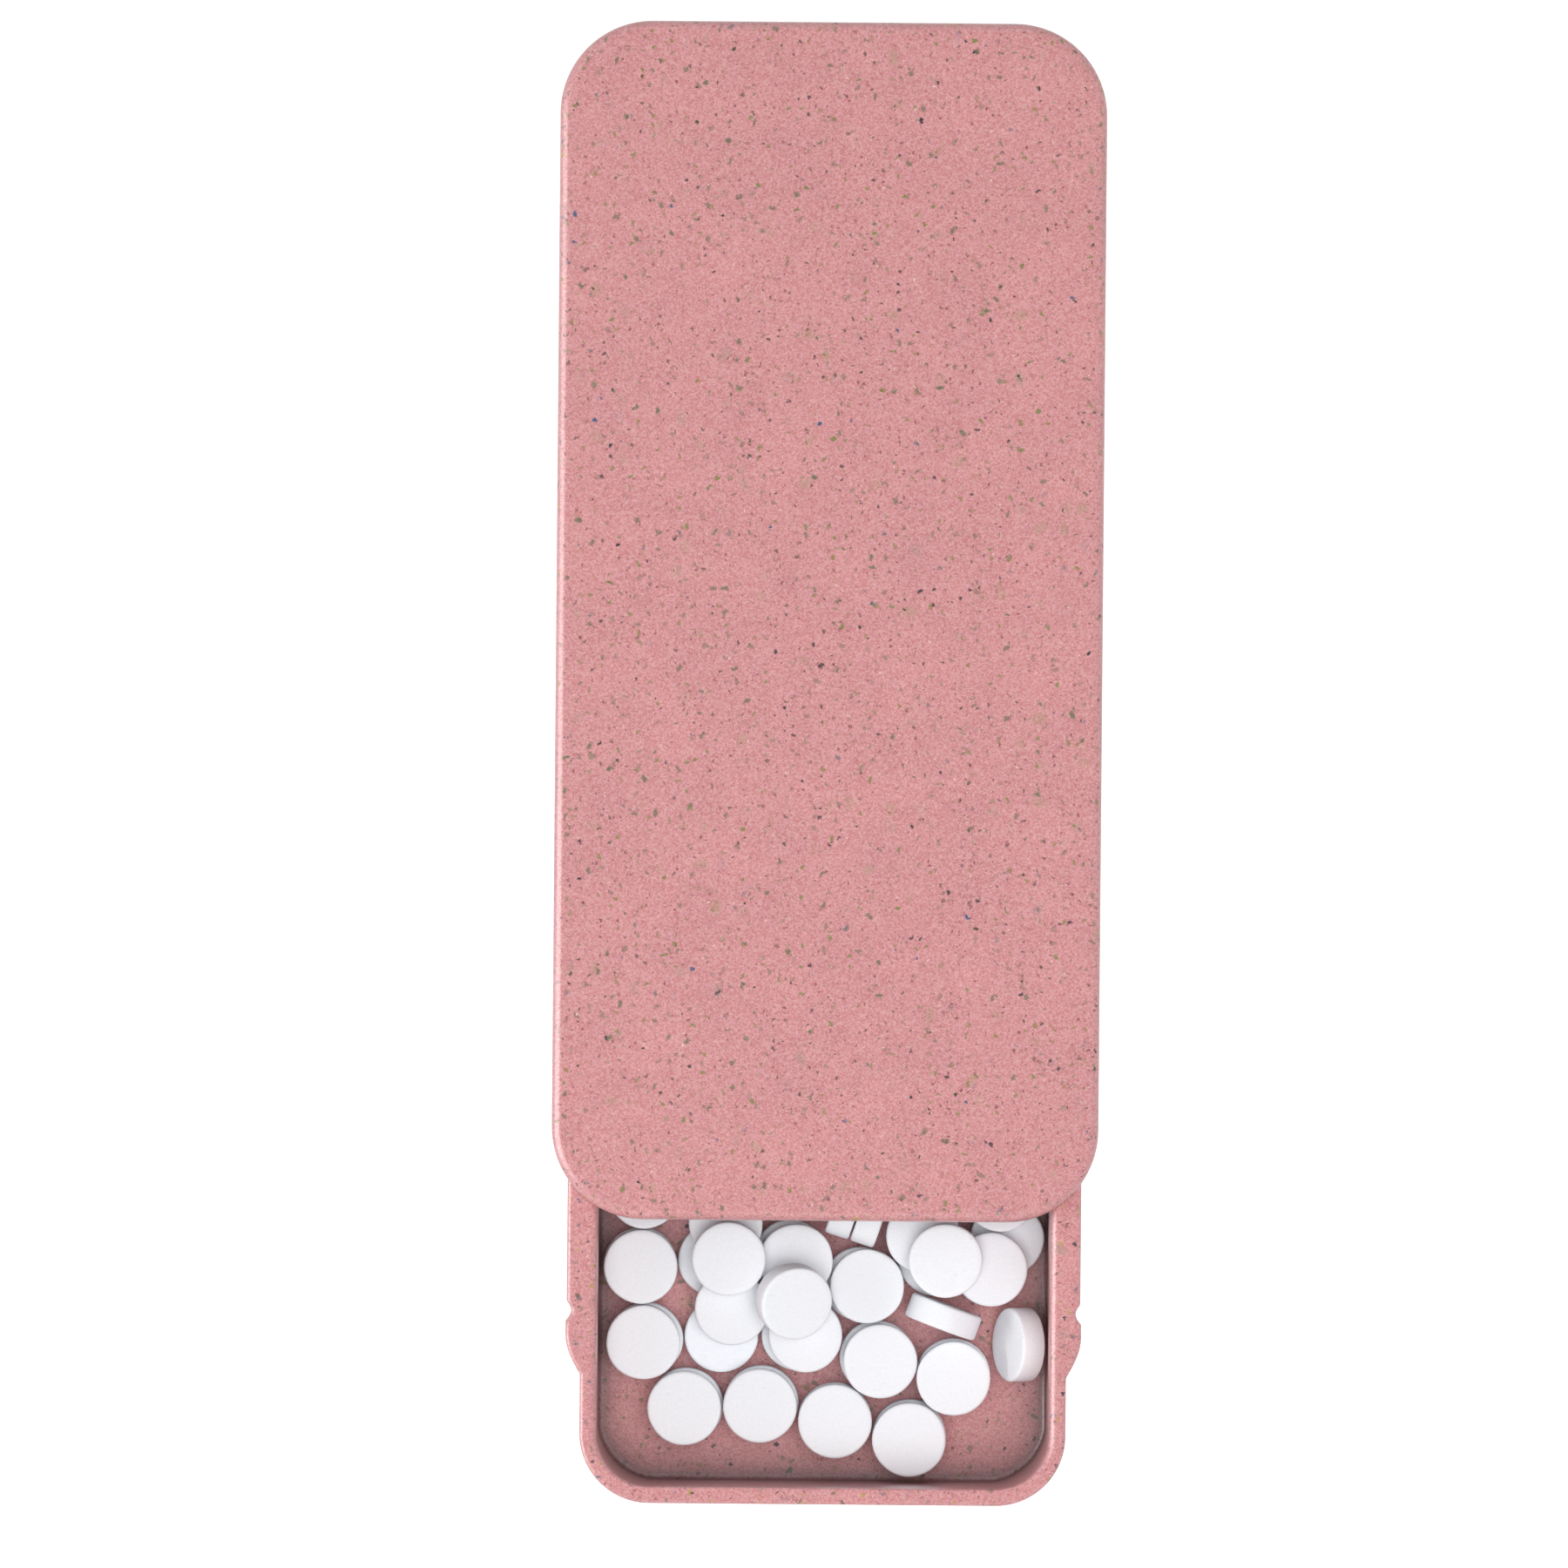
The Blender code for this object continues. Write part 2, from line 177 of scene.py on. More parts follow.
def skin(name, rings, painted_shade=None):
    """A closed mesh through rings with as many points each, capped flat at its first and last ring.

    Face (j, k) joins points k and k + 1 of ring j to the same two of ring j + 1. Points that fall
    together are merged, so a step that fades to nothing leaves no slit. One number a ring can go with
    the mesh as an attribute, which tells the material how much painted shade the surface gets there.
    """
    grid = np.stack(rings)
    index = np.arange(grid.shape[0] * grid.shape[1]).reshape(grid.shape[:2])
    following = np.roll(index, -1, axis=1)
    quads = np.stack([index[:-1], following[:-1], following[1:], index[1:]], axis=-1)
    faces = [index[0, ::-1].tolist(), *quads.reshape(-1, 4).tolist(), index[-1].tolist()]
    mesh = bpy.data.meshes.new(name)
    mesh.from_pydata(grid.reshape(-1, 3), [], faces)
    if painted_shade is not None:
        spread_out = np.repeat(np.array(painted_shade, dtype=float), grid.shape[1])
        mesh.attributes.new(SHADE_ATTRIBUTE, "FLOAT", "POINT").data.foreach_set("value", spread_out)
    merge_doubles(mesh)
    return shaded(mesh)


def add_piece(name, mesh, material):
    """Puts a finished mesh in the scene. Its object stays at the origin."""
    mesh.materials.append(material)
    piece = bpy.data.objects.new(name, mesh)
    bpy.context.collection.objects.link(piece)
    print(f"{name}: {sum(len(face.vertices) - 2 for face in mesh.polygons)} triangles")
    return piece


# %% [markdown]
# ## Materials from nodes
#
# Straw composite is a plastic filled with milled straw and husk, and moulded hot. The plastic gives a
# satin skin with an index of refraction near 1.5. The filler shows as flecks: grey-green and olive
# straw, dark husk, and a dust of fine pale and reddish bits. An image could show this, but it would
# repeat and stretch on the walls. Patterns worked out in space run through the whole wall, as the
# real filler does.
#
# All patterns read Object coordinates in millimetres, so each scale below is a real size.

# %% Colours and nodes
# The Mix node's colour sockets go by number, because its plain number sockets share their names.
MIX_FROM, MIX_TO, MIX_RESULT = 6, 7, 2


def linear(hex_colour):
    """An sRGB hex colour as linear light, by the standard's curve, with full alpha."""
    channels = np.array([int(hex_colour[start:start + 2], 16) for start in (1, 3, 5)]) / 255.0
    low, high = channels / 12.92, ((channels + 0.055) / 1.055) ** 2.4
    return (*np.where(channels <= 0.04045, low, high).tolist(), 1.0)


def node(tree, kind, inputs, stops=(), **settings):
    """Adds a node of a kind, with its settings, and feeds its inputs from sockets or plain values.

    Stops are the positions and hex colours of a colour ramp, from low to high.
    """
    made = tree.nodes.new("ShaderNode" + kind)
    for name, value in settings.items():
        setattr(made, name, value)
    for key, value in inputs.items():
        if isinstance(value, bpy.types.NodeSocket):
            tree.links.new(value, made.inputs[key])
        else:
            made.inputs[key].default_value = value
    if stops:
        on_ramp = made.color_ramp.elements
        on_ramp.remove(on_ramp[1])
        for count, (position, hex_colour) in enumerate(stops):
            stop = on_ramp.new(position) if count else on_ramp[0]
            stop.position, stop.color = position, linear(hex_colour)
    return made


def millimetres(tree, offset=(0.0, 0.0, 0.0)):
    """Object coordinates in millimetres, moved by an offset."""
    where = node(tree, "TexCoord", {})
    return node(tree, "Mapping", {
        "Vector": where.outputs["Object"], "Location": offset, "Scale": (1.0 / MM,) * 3,
    }).outputs["Vector"]


def warped(tree, place, size, amount):
    """Places pushed about by noise of a size, by up to half the amount each way, all in millimetres."""
    noise = node(tree, "TexNoise", {"Vector": place, "Scale": 1.0 / size, "Detail": 2.0})
    centred = node(tree, "VectorMath", {
        0: noise.outputs["Color"], 1: (0.5, 0.5, 0.5),
    }, operation="SUBTRACT")
    push = node(tree, "VectorMath", {0: centred.outputs[0], "Scale": amount}, operation="SCALE")
    return node(tree, "VectorMath", {0: place, 1: push.outputs[0]}, operation="ADD").outputs[0]


# %% [markdown]
# ### Flecks
#
# A Voronoi texture divides space round random points, one to a cell. Each cell also has random
# numbers of its own. The first decides whether the cell holds a fleck and how deep it lies under the
# skin, the second sets the fleck's size and the third its heading and colour. Because the cells fill
# space, the surface cuts some flecks through the middle and only grazes others, as moulding does.
#
# The filler comes in clumps, so the share of cells that hold a fleck rises and falls from place to
# place. A fleck isn't flat paint either: it fades at its edge, where it dips under the plastic, and
# the grain shows through it as a mottle.

# %% One layer of flecks
# In radians. Heading and tint come from one random number, and several turns keep them apart.
HEADING_SPREAD = 40.0


def flecked(tree, place, crowding, mottle, colour, cell, share, radii, length, soft, depths, tints):
    """Lays one layer of flecks over a colour, and gives the new colour and how much is covered.

    In a kept cell, the way from the cell's point is turned by a random heading and shortened along
    one axis by the fleck's length. The fleck covers places where what is left is less than its
    radius, and fades over the soft width. Its cover lies between the two depths, times the mottle.
    Sizes are in millimetres, and the share is of all cells, times the crowding.
    """
    cells = node(tree, "TexVoronoi", {"Vector": place, "Scale": 1.0 / cell})
    random = node(tree, "SeparateColor", {"Color": cells.outputs["Color"]})
    way = node(tree, "VectorMath", {0: place, 1: cells.outputs["Position"]}, operation="SUBTRACT")
    heading = node(tree, "Math", {0: random.outputs["Blue"], 1: HEADING_SPREAD}, operation="MULTIPLY")
    turned = node(tree, "VectorRotate", {
        "Vector": way.outputs[0], "Angle": heading.outputs[0],
    }, rotation_type="Z_AXIS")
    drawn = node(tree, "VectorMath", {
        0: turned.outputs[0], 1: (1.0 / length, 1.0, 1.0),
    }, operation="MULTIPLY")
    distance = node(tree, "VectorMath", {0: drawn.outputs[0]}, operation="LENGTH")
    local_share = node(tree, "Math", {0: crowding, 1: share}, operation="MULTIPLY")
    kept = node(tree, "Math", {
        0: random.outputs["Red"], 1: local_share.outputs[0],
    }, operation="LESS_THAN")
    radius = node(tree, "MapRange", {
        "Value": random.outputs["Green"], "To Min": radii[0], "To Max": radii[1],
    })
    limit = node(tree, "Math", {0: radius.outputs[0], 1: kept.outputs[0]}, operation="MULTIPLY")
    inside = node(tree, "Math", {
        0: limit.outputs[0], 1: distance.outputs["Value"],
    }, operation="SUBTRACT")
    cover = node(tree, "MapRange", {
        "Value": inside.outputs[0], "From Max": soft,
    }, interpolation_type="SMOOTHSTEP")
    depth = node(tree, "MapRange", {
        "Value": random.outputs["Red"], "From Max": share, "To Min": depths[1], "To Max": depths[0],
    })
    whole = node(tree, "Math", {0: cover.outputs[0], 1: depth.outputs[0]}, operation="MULTIPLY")
    shown = node(tree, "Math", {
        0: whole.outputs[0], 1: mottle,
    }, operation="MULTIPLY", use_clamp=True)
    stops = [(count / len(tints), hex_colour) for count, hex_colour in enumerate(tints)]
    tint = node(tree, "ValToRGB", {"Fac": random.outputs["Blue"]}, stops)
    tint.color_ramp.interpolation = "CONSTANT"
    mixed = node(tree, "Mix", {
        "Factor": shown.outputs[0], MIX_FROM: colour, MIX_TO: tint.outputs["Color"],
    }, data_type="RGBA")
    return mixed.outputs[MIX_RESULT], shown.outputs[0]


# %% [markdown]
# ### Straw composite, moulded: its colour
#
# The base is a dusty pink. Over it come a cloudiness of some millimetres, where the filler is denser,
# and a grain of single particles, each a little lighter, darker or warmer than the next. Real milled
# straw is finer. The grain here is about 0.1 mm, the finest that the render can show.
#
# Eight layers of flecks follow, from the pale ones that lie deep to the rare dark ones at the
# surface. Two warps, one coarse and one fine, make their outlines ragged.

# %% Pink, grain and flecks
# Sizes are in millimetres, and tones are the stops of a colour ramp.
CLOUD_SIZE, GRAIN_SIZE, CLUMP_SIZE = 5.0, 0.115, 2.2
CLOUD_TONES = (0.3, "#BC7E82"), (0.7, "#D59290")
GRAIN_TONES = (0.0, "#AC5A5E"), (1.0, "#E8BCBE")
GRAIN_HUES = (0.0, "#E08D9A"), (1.0, "#D3948A")

# The hue's share of the grain, and the grain's share of the whole.
HUE_SHARE, GRAIN_SHARE = 0.35, 0.65

# Each warp is the size of its noise and how far it pushes.
COARSE_WARP, FINE_WARP = (0.35, 0.5), (0.10, 0.12)

# Clump noise over the first range gives crowding over the second. The mottle runs over the third.
CLUMP_NOISE, CROWDING, MOTTLE = (0.35, 0.68), (0.5, 1.5), (0.80, 1.20)

FLECK_LAYERS = (
    # cell, share, radii, length, soft edge, depths, tints
    # Pale straw deep under the skin.
    (1.70, 0.62, (0.28, 0.65), 1.6, 0.45, (0.10, 0.38), ("#9C9068", "#8A8C7C", "#A89A60", "#85808C")),
    # Grey-green straw.
    (0.90, 0.74, (0.13, 0.27), 1.8, 0.16, (0.35, 1.00), ("#6A6A52", "#626A50", "#7A7454", "#64686E")),
    # Olive straw.
    (0.78, 0.72, (0.10, 0.22), 1.8, 0.12, (0.38, 1.00),
     ("#868042", "#7A7E46", "#8A7C44", "#727A44", "#AE9C3C")),
    # Long thin fibres.
    (1.50, 0.50, (0.05, 0.10), 5.5, 0.07, (0.25, 0.70), ("#6A5C52", "#726C64", "#7E6A46")),
    # Pale dust.
    (0.50, 0.42, (0.05, 0.10), 1.2, 0.05, (0.25, 0.75), ("#F4CCC8", "#F0C8C0", "#F8DCD6")),
    # Reddish dust.
    (0.46, 0.72, (0.08, 0.15), 1.3, 0.10, (0.28, 0.90), ("#7C383A", "#6A3034", "#88403E", "#5E2C30")),
    # Dark husk.
    (0.74, 0.60, (0.10, 0.19), 1.4, 0.09, (0.32, 1.00), ("#3A2E2A", "#4A3A2E", "#2E3032", "#3E4232")),
    # Rare blue and black bits.
    (2.00, 0.30, (0.12, 0.23), 1.3, 0.08, (0.75, 1.00), ("#203A84", "#2F5478", "#20222C", "#3E3E74")),
)


def composite_colour(tree, place, particle):
    """The pink with its clouds, grain and flecks. A particle has three random numbers of its own."""
    clouds = node(tree, "TexNoise", {
        "Vector": place, "Scale": 1.0 / CLOUD_SIZE, "Detail": 4.0, "Roughness": 0.6,
    })
    cloudy = node(tree, "ValToRGB", {"Fac": clouds.outputs["Fac"]}, CLOUD_TONES)
    bright = node(tree, "ValToRGB", {"Fac": particle.outputs["Red"]}, GRAIN_TONES)
    hue = node(tree, "ValToRGB", {"Fac": particle.outputs["Green"]}, GRAIN_HUES)
    grainy = node(tree, "Mix", {
        "Factor": HUE_SHARE, MIX_FROM: bright.outputs["Color"], MIX_TO: hue.outputs["Color"],
    }, data_type="RGBA")
    colour = node(tree, "Mix", {
        "Factor": GRAIN_SHARE, MIX_FROM: cloudy.outputs["Color"], MIX_TO: grainy.outputs[MIX_RESULT],
    }, data_type="RGBA").outputs[MIX_RESULT]
    ragged = warped(tree, warped(tree, place, *COARSE_WARP), *FINE_WARP)
    clumps = node(tree, "TexNoise", {"Vector": place, "Scale": 1.0 / CLUMP_SIZE, "Detail": 2.0})
    crowding = node(tree, "MapRange", {
        "Value": clumps.outputs["Fac"], "From Min": CLUMP_NOISE[0], "From Max": CLUMP_NOISE[1],
        "To Min": CROWDING[0], "To Max": CROWDING[1],
    })
    mottle = node(tree, "MapRange", {
        "Value": particle.outputs["Blue"], "To Min": MOTTLE[0], "To Max": MOTTLE[1],
    })
    for layer in FLECK_LAYERS:
        colour = flecked(tree, ragged, crowding.outputs[0], mottle.outputs[0], colour, *layer)[0]
    return colour


# %% [markdown]
# ### The tray's inside: painted shade
#
# The tray's inside is painted a shade darker, as painted shade for the hollow that its walls shut in.
# It is painted darkest and greyest along the foot of its walls, as painted shade in the inner corners.
#
# A second material could paint the inside, but it would end in a hard line at the rim. One number on
# each ring of the tray's skin blends instead: 0 outside, 1 on the plain inside, and up to 2 along the
# foot. The lid has no such attribute, which counts as 0.

# %% Painted shade inside
# Tints of painted shade: a light one over the whole inside, a darker and greyer one along the foot of the
# walls.
INSIDE_SHADE_TINT, FOOT_SHADE_TINT = "#F8F7F7", "#B6C6C6"


def paint_inside_shade(tree, colour):
    """The colour times the inside's painted shade tint where the attribute reaches 1, and times the
    foot's darker painted shade from 1 to 2.
    """
    painted_shade = node(tree, "Attribute", {}, attribute_name=SHADE_ATTRIBUTE).outputs["Fac"]
    pressed = node(tree, "Mix", {
        "Factor": painted_shade, MIX_FROM: colour, MIX_TO: linear(INSIDE_SHADE_TINT),
    }, data_type="RGBA", blend_type="MULTIPLY")
    foot = node(tree, "MapRange", {"Value": painted_shade, "From Min": 1.0, "From Max": 2.0})
    return node(tree, "Mix", {
        "Factor": foot.outputs[0], MIX_FROM: pressed.outputs[MIX_RESULT], MIX_TO: linear(FOOT_SHADE_TINT),
    }, data_type="RGBA", blend_type="MULTIPLY").outputs[MIX_RESULT]


# %% [markdown]
# ### Straw composite, moulded: its finish
#
# One finish all over would not do. A mould's flats are blasted matt, so that scratches don't show
# on them: that is the lid's top and the tray's rim. Its walls and rounds are polished, and there the
# resin floats up in a thin clear skin, which is the coat. The two are told apart by height, because
# the matt flat is the highest part of each piece. A faint dimpling, 0.3 mm across, breaks the shine.

# %% Straw composite
COMPOSITE_IOR = 1.5
DIMPLE_SIZE, DIMPLE_STRENGTH, DIMPLE_DEPTH = 0.3, 0.35, 0.03 * MM

# Below the flat, in millimetres: fully polished from the first depth down, matt above the second.
POLISHED_BELOW, MATT_ABOVE = 0.03, 0.005
MATT_ROUGHNESS, POLISH_GAIN = (0.62, 0.70), 0.24
COAT_WEIGHT, COAT_ROUGHNESS = 0.85, 0.32


def straw_composite(name, offset, flat_height):
    """The speckled moulded composite, matt on the flat at a height and polished below it.

    The offset keeps two pieces from sharing one pattern.
    """
    material = bpy.data.materials.new(name)
    material.use_nodes = True
    tree = material.node_tree
    place = millimetres(tree, offset)
    grain = node(tree, "TexVoronoi", {"Vector": place, "Scale": 1.0 / GRAIN_SIZE})
    particle = node(tree, "SeparateColor", {"Color": grain.outputs["Color"]})
    # The tray's inside gets painted shade over the composite's own colour. The lid has none.
    colour = paint_inside_shade(tree, composite_colour(tree, place, particle))
    height = node(tree, "SeparateXYZ", {"Vector": millimetres(tree)})
    polish = node(tree, "MapRange", {
        "Value": height.outputs["Z"], "To Min": 1.0, "To Max": 0.0,
        "From Min": flat_height / MM - POLISHED_BELOW, "From Max": flat_height / MM - MATT_ABOVE,
    })
    matt = node(tree, "MapRange", {
        "Value": particle.outputs["Blue"], "To Min": MATT_ROUGHNESS[0], "To Max": MATT_ROUGHNESS[1],
    })
    rough = node(tree, "Math", {
        0: polish.outputs[0], 1: -POLISH_GAIN, 2: matt.outputs[0],
    }, operation="MULTIPLY_ADD")
    coat = node(tree, "Math", {0: polish.outputs[0], 1: COAT_WEIGHT}, operation="MULTIPLY")
    dimple = node(tree, "TexNoise", {"Vector": place, "Scale": 1.0 / DIMPLE_SIZE, "Detail": 2.0})
    bump = node(tree, "Bump", {
        "Height": dimple.outputs["Fac"], "Strength": DIMPLE_STRENGTH, "Distance": DIMPLE_DEPTH,
    })
    shader = tree.nodes["Principled BSDF"]
    shader.inputs["IOR"].default_value = COMPOSITE_IOR
    shader.inputs["Coat Roughness"].default_value = COAT_ROUGHNESS
    tree.links.new(colour, shader.inputs["Base Color"])
    tree.links.new(rough.outputs[0], shader.inputs["Roughness"])
    tree.links.new(coat.outputs[0], shader.inputs["Coat Weight"])
    tree.links.new(bump.outputs["Normal"], shader.inputs["Normal"])
    print(name, "has", len(tree.nodes), "nodes")
    return material


tray_composite = straw_composite("moulded straw composite, tray", (0.0, 0.0, 0.0), tray_top)
lid_composite = straw_composite("moulded straw composite, lid", (31.0, 17.0, 5.0), lid_high[2])

# %% [markdown]
# ### Pressed sugar
#
# A mint is fine sugar pressed dry in a die. It is a dull white with a cold tint, close to chalk, with
# a faint grain and a few pits where a granule fell out. Nothing on it shines, so the roughness is
# high and the specular level low. Pits cut into the mesh would take thousands of faces. They are
# spots of chance size and place, just as flecks are, so the same function lays them, a bump
# presses them in, and a greyer tint paints the shade inside them.

# %% Powder and pits
POWDER_SIZE = 0.25
POWDER_TONES = (0.3, "#F2F5FA"), (0.7, "#FAFCFF")
PIT_WARP = (0.2, 0.2)

# cell, share, radii, length, soft edge, depths, tints. The tints are painted shade in the pits.
PITS_AND_SHADE = (0.7, 0.35, (0.06, 0.14), 1.0, 0.08, (0.3, 1.0), ("#E0E3E8", "#E8EAEC"))
PIT_STRENGTH, PIT_DEPTH = 0.4, 0.03 * MM
SUGAR_IOR, SUGAR_ROUGHNESS, SUGAR_SPECULAR = 1.5, 0.85, 0.25


def pressed_sugar():
    """Chalky white with pits: where a pit's cell is kept, the face is lower, and painted a little darker
    as shade in the pit.
    """
    material = bpy.data.materials.new("pressed sugar")
    material.use_nodes = True
    tree = material.node_tree
    place = millimetres(tree)
    powder = node(tree, "TexNoise", {
        "Vector": place, "Scale": 1.0 / POWDER_SIZE, "Detail": 3.0, "Roughness": 0.7,
    })
    white = node(tree, "ValToRGB", {"Fac": powder.outputs["Fac"]}, POWDER_TONES)
    ragged = warped(tree, place, *PIT_WARP)
    # The pits are pressed in by the bump and painted a little darker as shade.
    colour, pits = flecked(tree, ragged, 1.0, 1.0, white.outputs["Color"], *PITS_AND_SHADE)
    height = node(tree, "Math", {0: powder.outputs["Fac"], 1: pits}, operation="SUBTRACT")
    bump = node(tree, "Bump", {
        "Height": height.outputs[0], "Strength": PIT_STRENGTH, "Distance": PIT_DEPTH,
    })
    shader = tree.nodes["Principled BSDF"]
    shader.inputs["Roughness"].default_value = SUGAR_ROUGHNESS
    shader.inputs["IOR"].default_value = SUGAR_IOR
    shader.inputs["Specular IOR Level"].default_value = SUGAR_SPECULAR
    tree.links.new(colour, shader.inputs["Base Color"])
    tree.links.new(bump.outputs["Normal"], shader.inputs["Normal"])
    print(material.name, "has", len(tree.nodes), "nodes")
    return material


mint_sugar = pressed_sugar()

# %% [markdown]
# ## The tray
#
# The tray is an open box with a flange flush with its rim. The flange is the rail: it grows out of the
# wall in a rounded nose, has a notch where the lid's nub clicks in, and ends in a low bump that stops
# the lid. It could be a box with a rail joined on, but a moulding has no joint there, so the tray is
# one skin: under the foot, up the wall, round the rail, over the rim, and down to the floor.

# %% The rail's edge
NOSE_START, NOSE_LENGTH, NOSE_RISE, NOSE_FLAT = 10.3 * MM, 3.2 * MM, 0.08 * MM, 1.1 * MM
NOTCH_LENGTH, NOTCH_DEPTH = 1.6 * MM, 0.4 * MM
STOP_LENGTH, STOP_SPACING = 2.2 * MM, 0.7 * MM
NOSE_POINTS, NOTCH_POINTS, RAIL_POINTS, STOP_POINTS = 17, 17, 18, 13
ON_WALL = 0.001 * MM

notch_start = NOSE_START + NOSE_LENGTH + NOSE_FLAT
notch_end = notch_start + NOTCH_LENGTH
stop_start = tray_far - tray_near - TRAY_CORNER - STOP_SPACING - STOP_LENGTH


def rail_reach(along):
    """How far the rail stands out, by the distance from the near end.

    The nose follows a quarter sine from nothing to its full reach, which is a little more than the
    rail's. The notch takes half a sine wave out of the edge, and the stop adds a squared sine.
    """
    nose = np.clip((along - NOSE_START) / NOSE_LENGTH, 0.0, 1.0)
    notch = np.clip((along - notch_start) / NOTCH_LENGTH, 0.0, 1.0)
    stop = np.clip((along - stop_start) / STOP_LENGTH, 0.0, 1.0)
    edge = (RAIL_REACH + NOSE_RISE) * np.sin(math.pi / 2 * nose) - NOSE_RISE * notch
    return edge - NOTCH_DEPTH * np.sin(math.pi * notch) + STOP_RISE * np.sin(math.pi * stop) ** 2


# The nose's points crowd towards its start, where its edge is steepest.
side_along = np.concatenate([
    np.linspace(TRAY_CORNER, NOSE_START, 3)[1:-1],
    NOSE_START + NOSE_LENGTH * np.linspace(0.0, 1.0, NOSE_POINTS) ** 2,
    np.linspace(notch_start, notch_end, NOTCH_POINTS),
    np.linspace(notch_end, stop_start, RAIL_POINTS)[1:-1],
    np.linspace(stop_start, stop_start + STOP_LENGTH, STOP_POINTS),
])
tray_outline = rounded_outline(
    tray_half, tray_near, tray_far, TRAY_CORNER, TRAY_CORNER, tray_near + side_along,
)
points, normals = tray_outline
on_side = np.abs(np.abs(points[:, 0]) - tray_half) < ON_WALL
past_side = points[:, 1] > tray_far - TRAY_CORNER
reach = np.where(on_side, rail_reach(points[:, 1] - tray_near), 0.0)
reach = np.where(past_side, RAIL_REACH, reach)
print(f"{len(points)} points round the tray, rail up to {reach.max() / MM:.2f} mm")

# %% [markdown]
# Each corner of the cavity is rounder at the floor than at the rim, which lets the moulding leave its
# tool. A circle that is larger by some radius but touches the same two walls lies further in by that
# radius times (|nx| + |ny| - 1), where n is the normal. That is nothing along a wall and most in the
# middle of a corner.
#
# The rim's inner round is wide along the sides and the far end. It tightens towards the near end,
# with the square of the normal's part in that direction. Where the rail fades into the wall, the
# round under its edge fades with it. A flat has rings of its own close to the rounds beside it, at
# the support distance, so that smooth shading stays flat on it.

# %% The tray's rounds
FOOT_ROUND, RAIL_ROUND, FLOOR_ROUND = 1.5 * MM, 0.2 * MM, 0.35 * MM
OUTER_RIM, INNER_RIM, NEAR_RIM = 0.35 * MM, 0.6 * MM, 0.2 * MM
CORNER_EASE = 0.7 * MM
SUPPORT = 0.12 * MM
FOOT_STEPS, RAIL_STEPS, OUTER_STEPS, INNER_STEPS, FLOOR_STEPS, WALL_STEPS = 8, 3, 4, 6, 6, 5

# The floor's last rings: how far each lies in from the round, and its number of painted shade, which
# fades away from the foot of the wall.
FLOOR_SHADE_MARKS = (SUPPORT, 1.9), (0.7 * MM, 1.4), (1.5 * MM, 1.1), (2.6 * MM, 1.0)

corner_lean = CORNER_EASE * (np.abs(normals).sum(axis=1) - 1.0)
rail_under = tray_top - RAIL_THICKNESS
edge_round = RAIL_ROUND * np.clip(reach / RAIL_REACH, 0.0, 1.0)
inner_rim = INNER_RIM + (NEAR_RIM - INNER_RIM) * np.clip(-normals[:, 1], 0.0, 1.0) ** 2
cavity_foot = -TRAY_WALL - corner_lean
print(f"inner rim round: {inner_rim.min() / MM:.2f} to {inner_rim.max() / MM:.2f} mm")

# %% [markdown]
# The rings begin under the foot, climb the outside, go round the rail and over the rim, and run down
# the cavity's wall and in over the floor. Each gets the number of painted shade that it takes: 0 as
# far as the rim's inner round, rising from 1 to 2 down the wall, 2 round its foot, and then back to 1
# over the floor.

# %% The tray's skin
tray_rings = [ring(tray_outline, -FOOT_ROUND - SUPPORT, 0.0)]
for inward, up in round_section(FOOT_ROUND, FOOT_STEPS)[::-1]:
    tray_rings.append(ring(tray_outline, -inward, FOOT_ROUND - up))
for height in (FOOT_ROUND + SUPPORT, rail_under - SUPPORT, rail_under):
    tray_rings.append(ring(tray_outline, 0.0, height))
for inward, up in round_section(1.0, RAIL_STEPS)[::-1]:
    tray_rings.append(ring(
        tray_outline, reach - edge_round * inward, rail_under + edge_round * (1.0 - up),
    ))
for inward, up in round_section(OUTER_RIM, OUTER_STEPS):
    tray_rings.append(ring(tray_outline, reach - inward, tray_top - OUTER_RIM + up))
tray_rings.append(ring(tray_outline, reach - OUTER_RIM - SUPPORT / 2, tray_top))
tray_rings.append(ring(tray_outline, -TRAY_WALL + inner_rim + SUPPORT / 2, tray_top))
for inward, up in round_section(1.0, INNER_STEPS)[::-1]:
    tray_rings.append(ring(
        tray_outline, -TRAY_WALL + inner_rim * inward, tray_top - inner_rim * (1.0 - up),
    ))
# Painted shade for each ring: none outside and over the rim, then darker down the cavity's wall.
shade_by_ring = [0.0] * len(tray_rings)
for share in np.linspace(0.0, 1.0, WALL_STEPS + 1)[1:-1]:
    height = tray_top - inner_rim + (TRAY_FLOOR + FLOOR_ROUND - tray_top + inner_rim) * share
    tray_rings.append(ring(tray_outline, -TRAY_WALL - corner_lean * share, height))
    shade_by_ring.append(1.0 + share)
for inward, up in round_section(FLOOR_ROUND, FLOOR_STEPS):
    tray_rings.append(ring(tray_outline, cavity_foot - inward, TRAY_FLOOR + FLOOR_ROUND - up))
    shade_by_ring.append(2.0)
for distance, mark in FLOOR_SHADE_MARKS:
    tray_rings.append(ring(tray_outline, cavity_foot - FLOOR_ROUND - distance, TRAY_FLOOR))
    shade_by_ring.append(mark)

tray_shell = add_piece("tray_shell", skin("tray_shell", tray_rings, shade_by_ring), tray_composite)
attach(tray_shell, "tray")
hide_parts("tray")

# %% [markdown]
# ## The lid
#
# The lid is a flat panel that wraps the rails. From above it is a plain rounded plate; underneath, a
# channel runs in from the leading end, and two lips hold the rails. A moulder cuts the plate and the
# channel as two cavities, and a Boolean does the same: the plate minus the space the tray runs in.
# The cut is applied, so the finished lid is one plain mesh.

# %% The lid's plate
LID_TOP_ROUND, LID_FOOT_ROUND = 0.8 * MM, 0.3 * MM
LID_TOP_STEPS, LID_FOOT_STEPS = 9, 4
LID_SIDE_POINTS = 12

